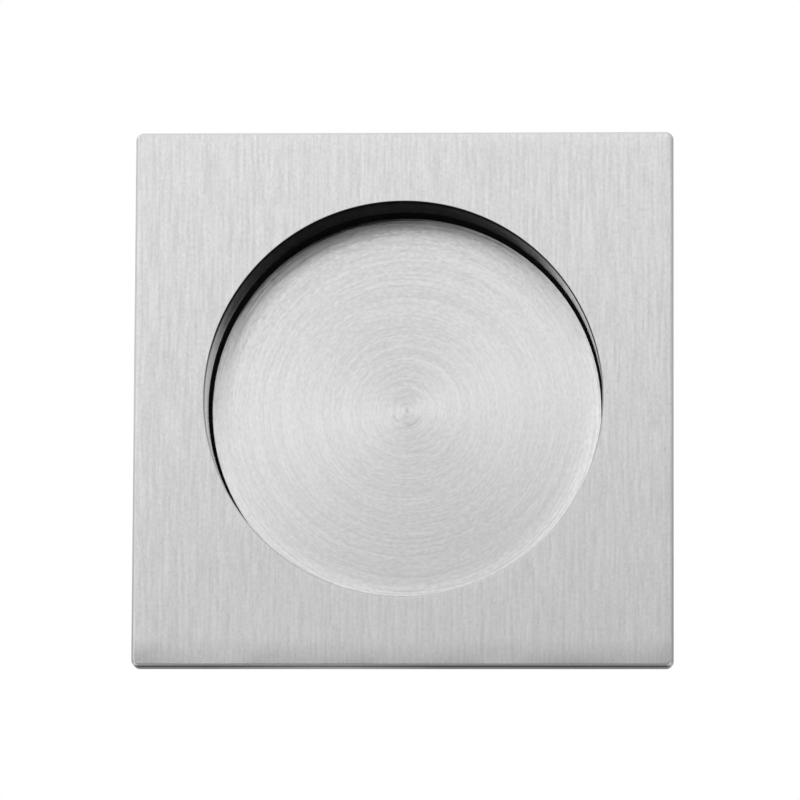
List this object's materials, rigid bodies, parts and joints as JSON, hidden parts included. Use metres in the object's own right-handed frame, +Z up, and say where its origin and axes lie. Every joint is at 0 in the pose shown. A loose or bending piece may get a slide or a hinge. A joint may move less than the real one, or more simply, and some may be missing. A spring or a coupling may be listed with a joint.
{
  "type": "pocket door pull",
  "caption": "Square satin steel plate with a round finger recess and a turned disc for its floor, let flush into a sliding door.",
  "frame": {"origin": "centre of the plate's back face, which lies on the door", "axes": "+Y into the door along the recess's axis, +Z up, so the front faces -Y"},
  "size_m": [0.055, 0.0119, 0.055],
  "materials": {
    "brushed_plate": "satin, with straight upright brush lines",
    "turned_disc": "satin, with fine round turning marks",
    "cup_black": "matt black"
  },
  "bodies": {
    "root": {"face_plate": "brushed_plate", "cup": "cup_black", "floor_disc": "turned_disc"}
  },
  "joints": []
}
